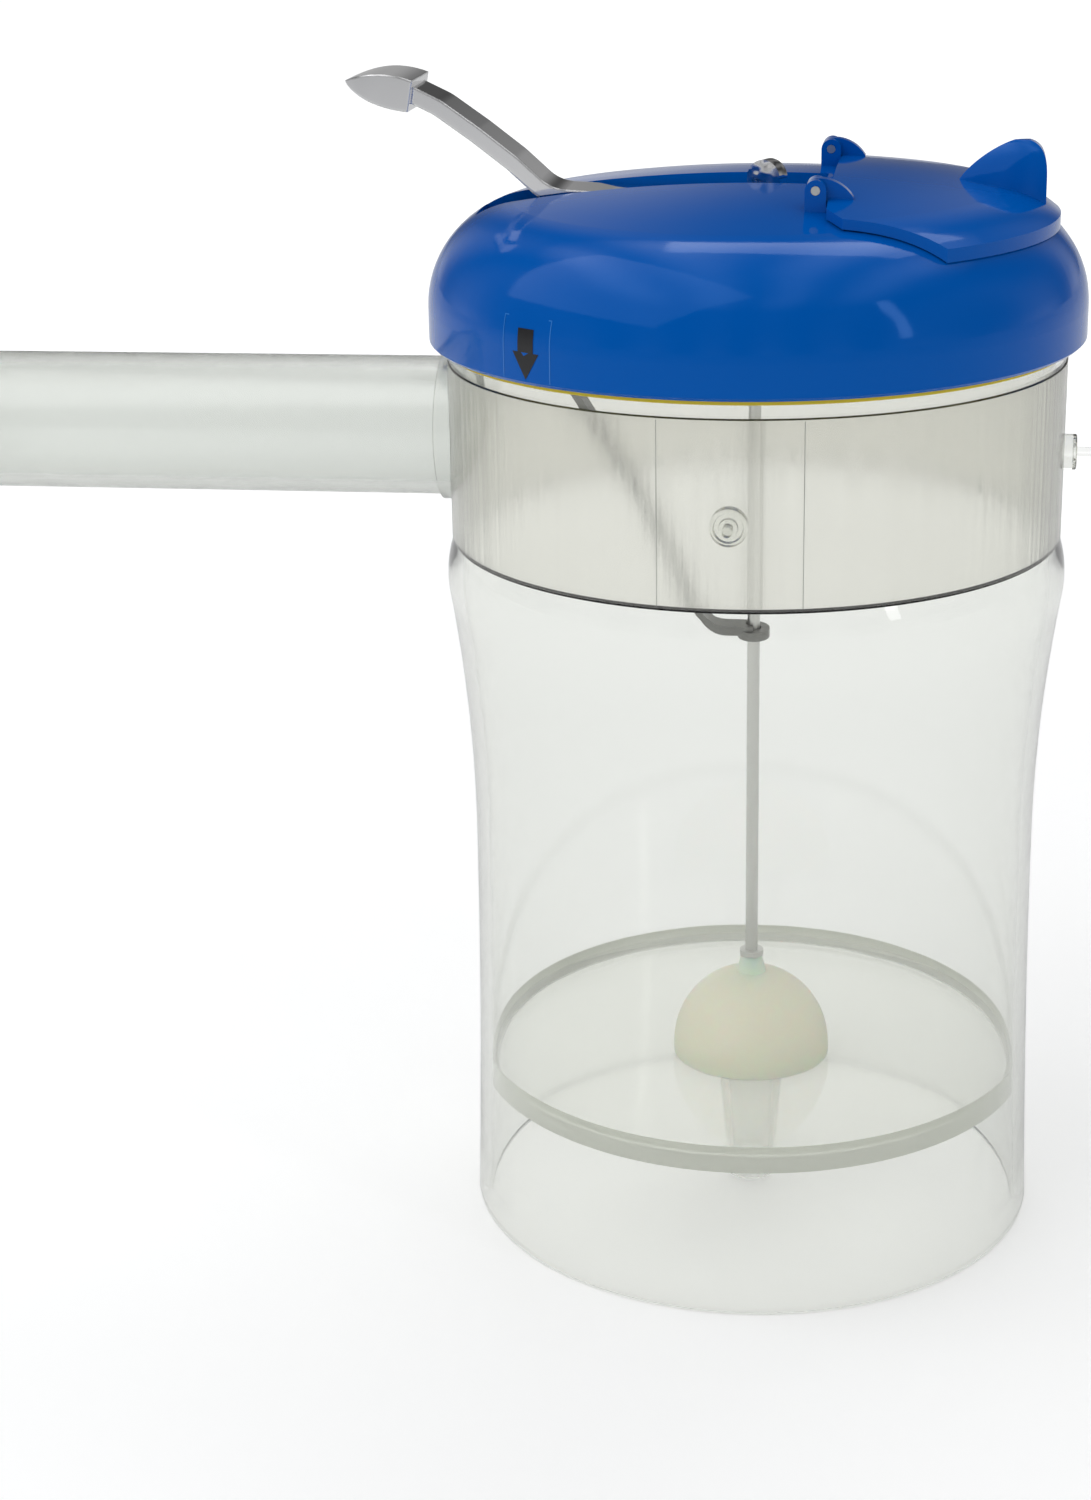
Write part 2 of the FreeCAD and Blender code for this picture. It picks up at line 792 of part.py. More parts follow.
def make_strainer_plate():
    body = new_body("strainer_plate")
    plan = new_sketch(body, "XY_Plane", "strainer_plan", well_floor + size("well_lip"))
    draw_fan(plan, size("strainer_gap"))
    pitch = size("strainer_pitch")
    hole = size("strainer_hole")
    land = size("well_lip") + hole + size("strainer_land")
    radius = size("opening_radius") - land
    back = size("opening_back") + land
    half = size("opening_half") - land
    columns = int((radius - back).number // pitch.number) + 1
    rows = int(half.number // pitch.number)
    for column in range(columns):
        for line in range(-rows, rows + 1):
            x_at = back + pitch * column
            y_at = pitch * line
            if math.hypot(x_at.number, y_at.number) <= radius.number:
                draw_circle(plan, x_at, y_at, hole)
    pad(body, plan, size("strainer_thickness"))
    return body


# Lever bracket: two cheeks with flanges under the skin, and four screws
def make_lever_bracket():
    pieces = []
    pivot_x = -size("lever_pivot_back")
    bridge_top = pivot_height - size("lug_radius") - size("hinge_gap")
    low = bridge_top - size("bracket_wall")
    ear = (pivot_x - size("bracket_ear"), pivot_x + size("bracket_ear"))
    for side in (1, -1):
        far = bracket_outer + size("bracket_flange")
        if side > 0:
            cheek, across = (bracket_inner, bracket_outer), (bracket_inner, far)
        else:
            cheek, across = (-bracket_outer, -bracket_inner), (-far, -bracket_inner)
        top = pivot_height + size("bracket_rise")
        pieces.append(box(f"cheek_{side + 1}", [ear, cheek, (low, top)]))
        pieces.append(box(f"rail_{side + 1}", [(-size("bracket_back"), -size("bracket_front")),
                                               cheek, (flange_under, flange_top)]))
        pieces.append(box(f"back_tab_{side + 1}", [(-size("bracket_back"), ear[0] + size("hinge_gap")),
                                                   across, (flange_under, flange_top)]))
        pieces.append(box(f"front_tab_{side + 1}", [(ear[1] - size("hinge_gap"), -size("bracket_front")),
                                                    across, (flange_under, flange_top)]))
    pieces.append(box("bridge", [ear, (-bracket_outer, bracket_outer), (low, bridge_top)]))
    joined = fused("bracket_blank", pieces)
    holes = [cylinder("pivot_hole", size("pivot_pin") + size("press_gap"), size("lever_width") * 3,
                      -size("lever_pivot_back"), -size("lever_width") * 1.5, pivot_height, ALONG_Y)]
    for x_at in (-size("screw_front"), -size("screw_back")):
        for y_at in (size("screw_spread"), -size("screw_spread")):
            low = flange_under - size("bracket_wall") / 2
            holes.append(cylinder(f"flange_hole_{len(holes)}", size("screw_radius") + size("press_gap"),
                                  size("bracket_wall") * 2, x_at, y_at, low))
    return cut_from("lever_bracket", joined, fused("bracket_holes", holes))


def make_bracket_screws():
    pieces = []
    for x_at in (-size("screw_front"), -size("screw_back")):
        seat = flange_under
        if x_at.number == -size("screw_back").number:
            seat = flange_under - size("guide_thickness")
        for y_at in (size("screw_spread"), -size("screw_spread")):
            number = len(pieces)
            shank = seat - size("screw_head_height") / 4
            pieces.append(cylinder(f"shank_{number}", size("screw_radius"),
                                   size("screw_length") + size("screw_head_height") / 4, x_at, y_at, shank))
            tip = size("screw_head") - size("screw_head_draw")
            pieces.append(cone(f"screw_head_{number}", tip, size("screw_head"),
                               size("screw_head_height"), x_at, y_at, seat - size("screw_head_height")))
    return fused("bracket_screws", pieces)


# Guide arm: a cross bar under the bracket, and a strip down to an eyelet on the rod
def make_rod_guide_arm():
    top = flange_under
    under = top - size("guide_thickness")
    half_bar = size("screw_head") + size("bar_margin")
    bar_front = -size("screw_back") + half_bar
    bar_back = -size("screw_back") - half_bar
    points = [(x_at, guide_height.number + up) for x_at, up in GUIDE_LINE]
    middle = under + size("guide_thickness") / 2
    points.append(((bar_back - size("guide_hook")).number, (middle - size("guide_drop")).number))
    points.append(((bar_back + size("bar_lap")).number, middle.number))
    strip = shape_feature("guide_strip", strip_shape(
        points, size("guide_thickness").number, size("guide_width").number, size("guide_bend").number))
    reach = size("screw_spread") + half_bar
    bar = box("guide_bar", [(bar_back, bar_front), (-reach, reach), (under, top)])
    eyelet = cylinder("eyelet_ring", size("eyelet_radius"), size("guide_thickness"),
                      z_at=guide_height - size("guide_thickness"))
    blank = fused("guide_blank", [strip, bar, eyelet])
    holes = [cylinder("eyelet_bore", size("rod_radius") + size("eyelet_gap"), size("guide_thickness") * 4,
                      z_at=guide_height - size("guide_thickness") * 2)]
    for y_at in (size("screw_spread"), -size("screw_spread")):
        holes.append(cylinder(f"bar_hole_{len(holes)}", size("screw_radius") + size("press_gap"),
                              size("guide_thickness") * 2, -size("screw_back"), y_at,
                              under - size("guide_thickness") / 2))
    return cut_from("rod_guide_arm", blank, fused("guide_holes", holes))


def make_pivot_pin():
    half = bracket_outer + size("pivot_head_thickness")
    shaft = cylinder("pivot_shaft", size("pivot_pin"), half * 2, -size("lever_pivot_back"), -half,
                     pivot_height, ALONG_Y)
    head = cylinder("pivot_head", size("pivot_head"), size("pivot_head_thickness"),
                    -size("lever_pivot_back"), -half - size("press_gap"), pivot_height, ALONG_Y)
    return fused("pivot_pin", [shaft, head])


def make_pin_clip():
    at = bracket_outer + size("press_gap") * 2
    disc = cylinder("clip_disc", size("pivot_head"), size("clip_thickness"),
                    -size("lever_pivot_back"), at, pivot_height, ALONG_Y)
    bore = cylinder("clip_bore", size("pivot_pin") + size("press_gap"), size("clip_thickness") * 3,
                    -size("lever_pivot_back"), at - size("clip_thickness"), pivot_height, ALONG_Y)
    return cut_from("pin_clip", disc, bore)


# Return spring: turns round the pivot pin, with one leg under the lever's neck
def make_lever_spring():
    wire = size("spring_wire").number
    coil = size("spring_coil").number
    pitch = size("spring_pitch").number
    room = size("lever_width").number - size("lug_width").number - 2 * wire
    turns = math.floor(room / pitch - 0.25) + 0.25
    helix = Part.makeHelix(pitch, turns * pitch, coil, 0, True)
    start = helix.Vertexes[0].Point
    section = Part.Wire(Part.makeCircle(wire, start, FreeCAD.Vector(0, 1, 0)))
    sweep = Part.Wire(helix).makePipeShell([section], True, True)
    leg = Part.makeCylinder(wire, coil, start, FreeCAD.Vector(0, 1, 0))
    end = helix.Vertexes[-1].Point
    tail = Part.makeCylinder(wire, size("spring_tail").number, end, FreeCAD.Vector(end.y, -end.x, 0))
    spring = sweep.fuse([leg, tail])
    item = shape_feature("lever_spring", spring)
    across = -size("lever_width").number / 2 + wire
    item.Placement = FreeCAD.Placement(
        FreeCAD.Vector(-size("lever_pivot_back").number, across, pivot_height.number),
        FreeCAD.Rotation(FreeCAD.Vector(1, 0, 0), -90),
    )
    return item


# Flap: a fan-shaped cover that follows the dome, with two knuckles and a thumb fin
def make_flap_cover():
    body = new_body("flap_cover")
    low = size("flap_gap")
    high = low + size("flap_thickness")
    low_end = crown_end(low)
    high_end = crown_end(high)
    spare = low - size("trim_spare")
    spare_end = crown_end(spare)
    layer = new_sketch(body, "XZ_Plane", "flap_layer")
    draw_outline(layer, [
        (z, lid_top + spare, -(crown_sweep + spare)),
        (spare_end[0], spare_end[1], -(lid_shoulder + spare)),
        (lid_radius + spare, shoulder_height),
        (lid_radius + high, shoulder_height, lid_shoulder + high),
        (high_end[0], high_end[1], crown_sweep + high),
        (z, lid_top + high),
    ])
    revolve(body, layer)

    fan = new_sketch(body, "XY_Plane", "flap_fan")
    half = size("flap_corner_half")
    reach = root(size("flap_reach") * size("flap_reach") - half * half)
    far = lid_radius * 2
    draw_box(fan, -far, far, -far, far)
    draw_outline(fan, [
        (size("flap_back"), -size("flap_back_half")),
        (size("flap_step"), -size("flap_step_half")),
        (reach, -half, size("flap_reach")),
        (reach, half),
        (size("flap_step"), size("flap_step_half")),
        (size("flap_back"), size("flap_back_half")),
    ])
    pocket(body, fan)

    knuckle_root = lid_surface(size("hinge_spread"))
    for side in (1, -1):
        knuckle = new_sketch(body, "XZ_Plane", f"knuckle_{side + 1}", size("hinge_spread") * -side)
        left = size("hinge_front") - size("ear_radius")
        right = size("hinge_front") + size("knuckle_length")
        draw_outline(knuckle, [
            (left, hinge_height),
            (left, knuckle_root + size("flap_gap") * 4),
            (right, knuckle_root),
            (right, knuckle_root + size("flap_thickness"), size("knuckle_bow")),
            (size("hinge_front"), hinge_height + size("ear_radius"), size("ear_radius") + ARC_SPARE),
        ])
        pad(body, knuckle, size("knuckle_thickness"), symmetric=True)

    sections = []
    for index, (height, tip, half_width) in enumerate(FIN_SECTIONS):
        section = new_sketch(body, "XY_Plane", f"fin_{index}", lid_top + height)
        end = size("fin_end") - FIN_END_DRAW[index]
        length = end - tip
        width = Dim(half_width)
        bow = (length * length + width * width) / (width * 2)
        draw_outline(section, [
            (Dim(tip), z, bow),
            (end, -width),
            (end, width, bow),
        ])
        sections.append(section)
    sections[0].recompute()
    loft = body.newObject("PartDesign::AdditiveLoft", "thumb_fin")
    loft.Profile = sections[0]
    loft.Sections = sections[1:]
    doc.recompute()

    under = new_sketch(body, "XZ_Plane", "under_trim")
    draw_outline(under, [
        (z, lid_top + low, -(crown_sweep + low)),
        (low_end[0], low_end[1], -(lid_shoulder + low)),
        (lid_radius + low, shoulder_height),
        (lid_radius + low, shoulder_height - lid_shoulder),
        (z, shoulder_height - lid_shoulder),
    ])
    groove(body, under)
    bore = new_sketch(body, "XZ_Plane", "knuckle_bore")
    draw_circle(bore, size("hinge_front"), hinge_height, size("hinge_pin") + size("pin_gap"))
    pocket(body, bore)
    return body


def make_flap_hinge_pins():
    pins = []
    for side in (1, -1):
        middle = size("hinge_spread") * side
        pins.append(cylinder(f"hinge_pin_{side + 1}", size("hinge_pin"), ear_outer * 2,
                             size("hinge_front"), middle - ear_outer, hinge_height, ALONG_Y))
    return fused("flap_hinge_pins", pins)


# Lever: a bent chrome strip with a thumb pad, a pivot lug and a slot for the rod
def make_lever_arm():
    pivot = FreeCAD.Vector(-size("lever_pivot_back").number, 0, pivot_height.number)
    width = size("lever_width").number
    points = [(pivot.x + across, pivot.z + up) for across, up in LEVER_LINE]
    strip = strip_shape(points, size("lever_thickness").number, width, size("lever_bend").number)

    def at(corner):
        return pivot + FreeCAD.Vector(corner[0], 0, corner[1])

    outline = Part.Wire([
        Part.Arc(at(PAD_TIP), at(PAD_CREST), at(PAD_END_TOP)).toShape(),
        Part.LineSegment(at(PAD_END_TOP), at(PAD_END_UNDER)).toShape(),
        Part.Arc(at(PAD_END_UNDER), at(PAD_UNDER), at(PAD_TIP)).toShape(),
    ])
    pad_width = size("pad_width").number
    pad_block = Part.Face(outline).extrude(FreeCAD.Vector(0, pad_width, 0))
    pad_block.translate(FreeCAD.Vector(0, -pad_width / 2, 0))
    length = PAD_END_TOP[0] - PAD_TIP[0]
    round_at = FreeCAD.Vector(PAD_TIP[0] + pad_width / 2, 0, 0)
    draw = FreeCAD.Vector(size("pad_tip_draw").number, 0, 0)
    height = 2 * PAD_CREST[1]
    plan = Part.makeCylinder(pad_width / 2, height, pivot + round_at - draw)
    front = Part.makeBox(length, pad_width, height, pivot + round_at - FreeCAD.Vector(0, pad_width / 2, 0))
    pad_block = pad_block.common(plan.fuse(front))
    lug_width = size("lug_width").number
    lug_side = width / 2 - lug_width
    lug = Part.makeCylinder(size("lug_radius").number, lug_width, pivot + FreeCAD.Vector(0, lug_side, 0),
                            FreeCAD.Vector(0, 1, 0))
    web = Part.makeBox(2 * size("lug_radius").number, lug_width, size("web_height").number,
                       pivot + FreeCAD.Vector(-size("lug_radius").number, lug_side, 0))
    blank = shape_feature("lever_blank", strip.fuse([pad_block, lug, web]).removeSplitter())
    holes = [cylinder("lug_bore", size("pivot_pin") + size("pin_gap"), size("lever_width") * 2,
                      -size("lever_pivot_back"), -size("lever_width"), pivot_height, ALONG_Y)]
    half = size("rod_slot_half")
    half_across = size("rod_radius") + size("rod_slot_gap")
    shift = size("rod_slot_shift")
    thickness = size("lever_thickness")
    holes.append(box("rod_slot", [(shift - half, shift + half), (-half_across, half_across),
                                  (lever_top - thickness * 2, lever_top + thickness)]))
    return cut_from("lever_arm", blank, fused("lever_holes", holes))


# Valve: rod with its head, clip and swaged collar, silicone dome, washer and nut
rod_low = seat_height - size("rod_end_drop")
head_base = lever_top + size("head_seat")


def make_valve_rod():
    rod_top = head_base + size("head_socket") - size("press_gap") * 2
    shaft = cylinder("rod_shaft", size("rod_radius"), rod_top - rod_low, z_at=rod_low)
    collar = cylinder("rod_collar", size("collar_radius"), size("collar_thickness"),
                      z_at=neck_top + size("press_gap"))
    return fused("valve_rod", [shaft, collar])


def make_rod_head():
    body = new_body("rod_head")
    face = new_sketch(body, "XZ_Plane", "head_face")
    radius = size("head_radius")
    low = head_base
    draw_outline(face, [
        (size("head_shift") - radius, low),
        (size("head_shift") + radius, low),
        (size("head_shift") + radius, low + size("head_flank"), radius + ARC_SPARE),
        (size("head_shift") - radius, low + size("head_flank")),
    ])
    pad(body, face, size("head_thickness"), symmetric=True)
    socket = new_sketch(body, "XY_Plane", "rod_socket", low)
    draw_circle(socket, z, z, size("rod_radius") + size("press_gap"))
    pocket_up(body, socket, size("head_socket"))
    body.Placement = FreeCAD.Placement(
        FreeCAD.Vector(0, 0, 0), FreeCAD.Rotation(FreeCAD.Vector(0, 0, 1), -size("head_turn").number)
    )
    return body


def make_rod_clip():
    top = lever_top - size("lever_thickness") - size("rod_clip_drop")
    disc = cylinder("rod_clip_disc", size("rod_clip_radius"), size("clip_thickness"),
                    z_at=top - size("clip_thickness"))
    bore = cylinder("rod_clip_bore", size("rod_radius") + size("press_gap"), size("clip_thickness") * 3,
                    z_at=top - size("clip_thickness") * 2)
    return cut_from("rod_clip", disc, bore)


def make_valve_dome():
    body = new_body("valve_dome")
    profile = new_sketch(body, "XZ_Plane", "dome_profile")
    radius = size("dome_radius")
    lip = dome_base + size("dome_lip")
    bore = size("rod_radius") + size("press_gap")
    neck = size("dome_neck")
    rise = dome_top - lip
    bow = (radius * radius + rise * rise) / (rise * 2)
    recess_top = dome_base + size("dome_recess_depth")
    draw_outline(profile, [
        (size("dome_recess"), dome_base),
        (radius, dome_base),
        (radius, lip, bow + size("dome_bow")),
        (neck, dome_top),
        (bore + size("dome_neck_wall"), neck_top),
        (bore, neck_top),
        (bore, recess_top),
        (size("dome_recess"), recess_top),
    ])
    revolve(body, profile)
    return body


def make_valve_washer():
    top = dome_base + size("dome_recess_depth") - size("press_gap")
    disc = cylinder("washer_disc", size("washer_radius"), size("washer_thickness"),
                    z_at=top - size("washer_thickness"))
    bore = cylinder("washer_bore", size("rod_radius") + size("press_gap"), size("washer_thickness") * 3,
                    z_at=top - size("washer_thickness") * 2)
    return cut_from("valve_washer", disc, bore)


def make_valve_nut():
    top = dome_base + size("dome_recess_depth") - size("press_gap") * 2 - size("washer_thickness")
    prism = doc.addObject("Part::Prism", "nut_prism")
    prism.Polygon = 6
    prism.setExpression("Circumradius", size("nut_radius").text)
    prism.setExpression("Height", size("nut_height").text)
    place_at(prism, z_at=top - size("nut_height"))
    bore = cylinder("nut_bore", size("rod_radius") + size("press_gap"), size("nut_height") * 3,
                    z_at=top - size("nut_height") * 2)
    return cut_from("valve_nut", prism, bore)


sub_parts = [
    make_jug_body(),
    make_outlet_spout(),
    make_handle_tube(),
    make_handle_end_cap(),
    make_lid_shell(),
    make_lid_seal(),
    make_strainer_plate(),
    make_lever_bracket(),
    make_bracket_screws(),
    make_rod_guide_arm(),
    make_pivot_pin(),
    make_pin_clip(),
    make_lever_spring(),
    make_flap_cover(),
    make_flap_hinge_pins(),
    make_lever_arm(),
    make_valve_rod(),
    make_rod_head(),
    make_rod_clip(),
    make_valve_dome(),
    make_valve_washer(),
    make_valve_nut(),
]
doc.recompute()

for item in doc.Objects:
    if "Invalid" in item.State or "Error" in item.State:
        raise RuntimeError(f"{item.Name} failed: {item.State}")
os.makedirs("parts", exist_ok=True)
for item in sub_parts:
    if item.Shape.isNull() or not item.Shape.isValid():
        raise RuntimeError(f"{item.Label} has no valid shape")
    item.Shape.exportStep(os.path.join("parts", item.Label + ".step"))
    bounds = item.Shape.BoundBox
    print(f"{item.Label}: {len(item.Shape.Solids)} solid(s), {item.Shape.Volume:.0f} mm3, "
          f"x {bounds.XMin:.1f}..{bounds.XMax:.1f} y {bounds.YMin:.1f}..{bounds.YMax:.1f} "
          f"z {bounds.ZMin:.1f}..{bounds.ZMax:.1f}")
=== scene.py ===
import math

import bmesh
import bpy
from mathutils import Matrix, Vector


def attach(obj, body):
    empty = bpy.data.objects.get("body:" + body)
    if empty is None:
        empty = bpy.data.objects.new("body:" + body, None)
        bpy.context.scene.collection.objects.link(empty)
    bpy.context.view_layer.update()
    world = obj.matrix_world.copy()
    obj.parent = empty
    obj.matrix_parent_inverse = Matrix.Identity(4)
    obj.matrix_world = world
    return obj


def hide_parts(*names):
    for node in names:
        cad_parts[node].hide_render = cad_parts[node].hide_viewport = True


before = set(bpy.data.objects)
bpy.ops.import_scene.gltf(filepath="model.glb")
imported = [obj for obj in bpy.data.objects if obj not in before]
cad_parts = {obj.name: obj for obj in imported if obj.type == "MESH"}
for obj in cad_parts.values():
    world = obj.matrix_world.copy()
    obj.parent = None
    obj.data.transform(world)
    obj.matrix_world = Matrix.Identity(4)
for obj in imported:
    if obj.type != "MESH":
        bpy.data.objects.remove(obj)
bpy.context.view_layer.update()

# Outlines, radii and heights are in millimetres. Camera, lamps, floor and reliefs are in
# metres. Headings are in degrees about Z.
MM = 0.001
FRONT, RIGHT_SIDE = -90, 0


# Materials
def shader_of(material):
    return material.node_tree.nodes["Principled BSDF"]


def new_material(name, color, **inputs):
    """A Principled material. Each keyword is an input's name, with _ for its spaces."""
    material = bpy.data.materials.new(name)
    material.use_nodes = True
    shader = shader_of(material)
    shader.inputs["Base Color"].default_value = (*color, 1.0)
    for key, value in inputs.items():
        shader.inputs[key.replace("_", " ")].default_value = value
    return material


def clear_material(name, color, roughness, transmission):
    """A plastic that light passes through, with the refraction of acrylic."""
    return new_material(name, color, Roughness=roughness, IOR=1.49,
                        Transmission_Weight=transmission)


def add_bump(material, scale, strength, distance, detail=2.0, stretch=(1, 1, 1)):
    """Fine relief from noise in object coordinates, stretched along the axes."""
    tree = material.node_tree
    place = tree.nodes.new("ShaderNodeTexCoord")
    mapping = tree.nodes.new("ShaderNodeMapping")
    mapping.inputs["Scale"].default_value = stretch
    noise = tree.nodes.new("ShaderNodeTexNoise")
    noise.inputs["Scale"].default_value = scale
    noise.inputs["Detail"].default_value = detail
    bump = tree.nodes.new("ShaderNodeBump")
    bump.inputs["Strength"].default_value = strength
    bump.inputs["Distance"].default_value = distance
    tree.links.new(place.outputs["Object"], mapping.inputs["Vector"])
    tree.links.new(mapping.outputs["Vector"], noise.inputs["Vector"])
    tree.links.new(noise.outputs["Fac"], bump.inputs["Height"])
    tree.links.new(bump.outputs["Normal"], shader_of(material).inputs["Normal"])
    return noise


def vary_roughness(material, noise, low, high):
    """Roughness that follows the noise of the relief."""
    tree = material.node_tree
    spread = tree.nodes.new("ShaderNodeMapRange")
    spread.inputs["To Min"].default_value = low
    spread.inputs["To Max"].default_value = high
    tree.links.new(noise.outputs["Fac"], spread.inputs["Value"])
    tree.links.new(spread.outputs["Result"], shader_of(material).inputs["Roughness"])


def light_through(material, share):
    """Lets lamps and sky light what stands behind a clear wall, dimmed by the share."""
    tree = material.node_tree
    rays = tree.nodes.new("ShaderNodeLightPath")
    open_air = tree.nodes.new("ShaderNodeBsdfTransparent")
    open_air.inputs["Color"].default_value = (share, share, share, 1)
    mix = tree.nodes.new("ShaderNodeMixShader")
    tree.links.new(rays.outputs["Is Shadow Ray"], mix.inputs["Fac"])
    tree.links.new(shader_of(material).outputs[0], mix.inputs[1])
    tree.links.new(open_air.outputs[0], mix.inputs[2])
    tree.links.new(mix.outputs[0], tree.nodes["Material Output"].inputs["Surface"])


def soften_edges(material, radius):
    """Rounds the look of sharp edges without changing the shape."""
    tree = material.node_tree
    bevel = tree.nodes.new("ShaderNodeBevel")
    bevel.inputs["Radius"].default_value = radius
    tree.links.new(bevel.outputs["Normal"], shader_of(material).inputs["Normal"])


def dull_inside(material, color, density):
    """Plastic that swallows a little light, so that it looks darker along the wall."""
    tree = material.node_tree
    inside = tree.nodes.new("ShaderNodeVolumeAbsorption")
    inside.inputs["Color"].default_value = (*color, 1)
    inside.inputs["Density"].default_value = density
    tree.links.new(inside.outputs[0], tree.nodes["Material Output"].inputs["Volume"])


CHROME_COLOR = (0.74, 0.74, 0.75)
INSIDE_TINT, INSIDE_DENSITY = (0.50, 0.52, 0.44), 62

clear = clear_material("clear_plastic", (0.975, 0.98, 0.97), roughness=0.02, transmission=1.0)
add_bump(clear, scale=60, strength=0.05, distance=0.0004)
frosted = clear_material("frosted_plastic", (0.88, 0.895, 0.88),
                         roughness=0.16, transmission=0.93)
add_bump(frosted, scale=90, strength=0.2, distance=0.0004)
hazy = clear_material("hazy_plastic", (0.89, 0.885, 0.835), roughness=0.12, transmission=0.88)
streaks = add_bump(hazy, scale=1.0, strength=0.4, distance=0.00012, detail=3.0,
                   stretch=(620, 620, 5))
vary_roughness(hazy, streaks, low=0.05, high=0.33)
floor_plastic = clear_material("floor_plastic", (0.975, 0.98, 0.95),
                               roughness=0.08, transmission=0.85)
for material, share in ((clear, 0.95), (frosted, 0.9), (hazy, 0.87), (floor_plastic, 0.93)):
    light_through(material, share)
for material in (clear, frosted, hazy):
    dull_inside(material, INSIDE_TINT, INSIDE_DENSITY)
# Painted highlight: a pale, partly clear colour on the floor plate's edge, standing in for the
# light seen along that edge
painted_edge_light = clear_material("painted_edge_light", (0.93, 0.95, 0.87), roughness=0.3, transmission=0.3)
line_mark = new_material("mould_line", (0.42, 0.42, 0.40), Roughness=0.4,
                         Transmission_Weight=0.4)

blue = new_material("blue_plastic", (0.0, 0.098, 0.45), Roughness=0.13, IOR=1.5,
                    Specular_IOR_Level=0.3, Specular_Tint=(0.25, 0.5, 1.0, 1.0))
blue_noise = add_bump(blue, scale=220, strength=0.04, distance=0.0003)
vary_roughness(blue, blue_noise, low=0.05, high=0.12)
# Painted highlight: lighter blue for light caught by the patch's faint outline, with the top
# strip standing in for the highlight along its top
patch_outline_highlight = new_material("patch_outline_highlight", (0.02, 0.19, 0.62), Roughness=0.2, IOR=1.5)
black = new_material("black_print", (0.006, 0.006, 0.008), Roughness=0.35)
amber = new_material("amber_seal", (0.86, 0.60, 0.015), Roughness=0.35,
                     Subsurface_Weight=0.2)
silicone = new_material("ivory_silicone", (0.96, 0.93, 0.76), Roughness=0.42, IOR=1.41,
                        Transmission_Weight=0.12, Subsurface_Weight=0.6,
                        Subsurface_Scale=0.01)

chrome = new_material("chrome", CHROME_COLOR, Roughness=0.06, Metallic=1.0)
soften_edges(chrome, radius=0.0006)
dimpled = new_material("dimpled_chrome", CHROME_COLOR, Roughness=0.08, Metallic=1.0)
add_bump(dimpled, scale=520, strength=0.55, distance=0.0004, detail=0.0)
steel = new_material("plain_steel", (0.60, 0.60, 0.58), Roughness=0.28, Metallic=1.0)
add_bump(steel, scale=500, strength=0.08, distance=0.0001, stretch=(1, 1, 0.05))
dark_steel = new_material("dark_steel", (0.20, 0.20, 0.19), Roughness=0.35, Metallic=1.0)

# Every node that isn't named here is plain steel.
FINISH = {
    "jug_body": clear, "outlet_spout": clear,
    "handle_tube": frosted, "handle_end_cap": frosted,
    "lid_shell": blue, "strainer_plate": blue, "flap_cover": blue,
    "lid_seal": amber, "valve_dome": silicone,
    "lever_arm": chrome, "rod_head": dimpled, "rod_guide_arm": dark_steel,
}
for name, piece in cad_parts.items():
    piece.data.materials.clear()
    piece.data.materials.append(FINISH.get(name, steel))


# Mesh helpers
ON_AXIS = 1e-6  # a smaller radius, in millimetres, is a point on the axis
WELD = 1e-7  # in metres
PATCH_ROWS = 10


def new_piece(name, mesh, body, materials):
    for material in materials:
        mesh.materials.append(material)
    piece = bpy.data.objects.new(name, mesh)
    bpy.context.scene.collection.objects.link(piece)
    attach(piece, body)
    return piece


def on_turn(build, radius, angle, height):
    """A vertex at this radius and height, turned about Z by the angle in radians."""
    return build.verts.new((radius * MM * math.cos(angle),
                            radius * MM * math.sin(angle), height * MM))


def finished(build, name):
    mesh = bpy.data.meshes.new(name)
    build.to_mesh(mesh)
    build.free()
    return mesh


def turned(name, outline, segments, axis=None):
    """A closed outline of (radius, height) turned about Z, then moved by the matrix axis."""
    build = bmesh.new()
    rings = []
    for radius, height in outline:
        if radius < ON_AXIS:
            rings.append([build.verts.new((0, 0, height * MM))])
            continue
        rings.append([on_turn(build, radius, 2 * math.pi * step / segments, height)
                      for step in range(segments)])
    for index, ring in enumerate(rings):
        following = rings[(index + 1) % len(rings)]
        for step in range(segments):
            after = (step + 1) % segments
            corners = []
            for spot in (ring[step % len(ring)], ring[after % len(ring)],
                         following[after % len(following)], following[step % len(following)]):
                if spot not in corners:
                    corners.append(spot)
            if len(corners) > 2:
                build.faces.new(corners)
    bmesh.ops.recalc_face_normals(build, faces=build.faces)
    if axis is not None:
        bmesh.ops.transform(build, matrix=axis, verts=build.verts)
    return finished(build, name)


def smooth(mesh, degrees):
    """Smooth shading that keeps the edges sharper than this angle."""
    mesh.shade_smooth()
    mesh.set_sharp_from_angle(angle=math.radians(degrees))


def arc(start, stop, radius, steps):
    """Points after start and up to stop on an arc, left-turning when radius is positive."""
    first, last = Vector(start), Vector(stop)
    chord = last - first
    side = Vector((-chord.y, chord.x)).normalized()
    reach = math.sqrt(radius * radius - chord.length_squared / 4)
    centre = (first + last) / 2 + side * math.copysign(reach, radius)
    from_angle = math.atan2(first.y - centre.y, first.x - centre.x)
    turn = 2 * math.asin(chord.length / 2 / abs(radius)) * (1 if radius > 0 else -1)
    points = []
    for step in range(1, steps + 1):
        angle = from_angle + turn * step / steps
        points.append((centre.x + abs(radius) * math.cos(angle),
                       centre.y + abs(radius) * math.sin(angle)))
    return points


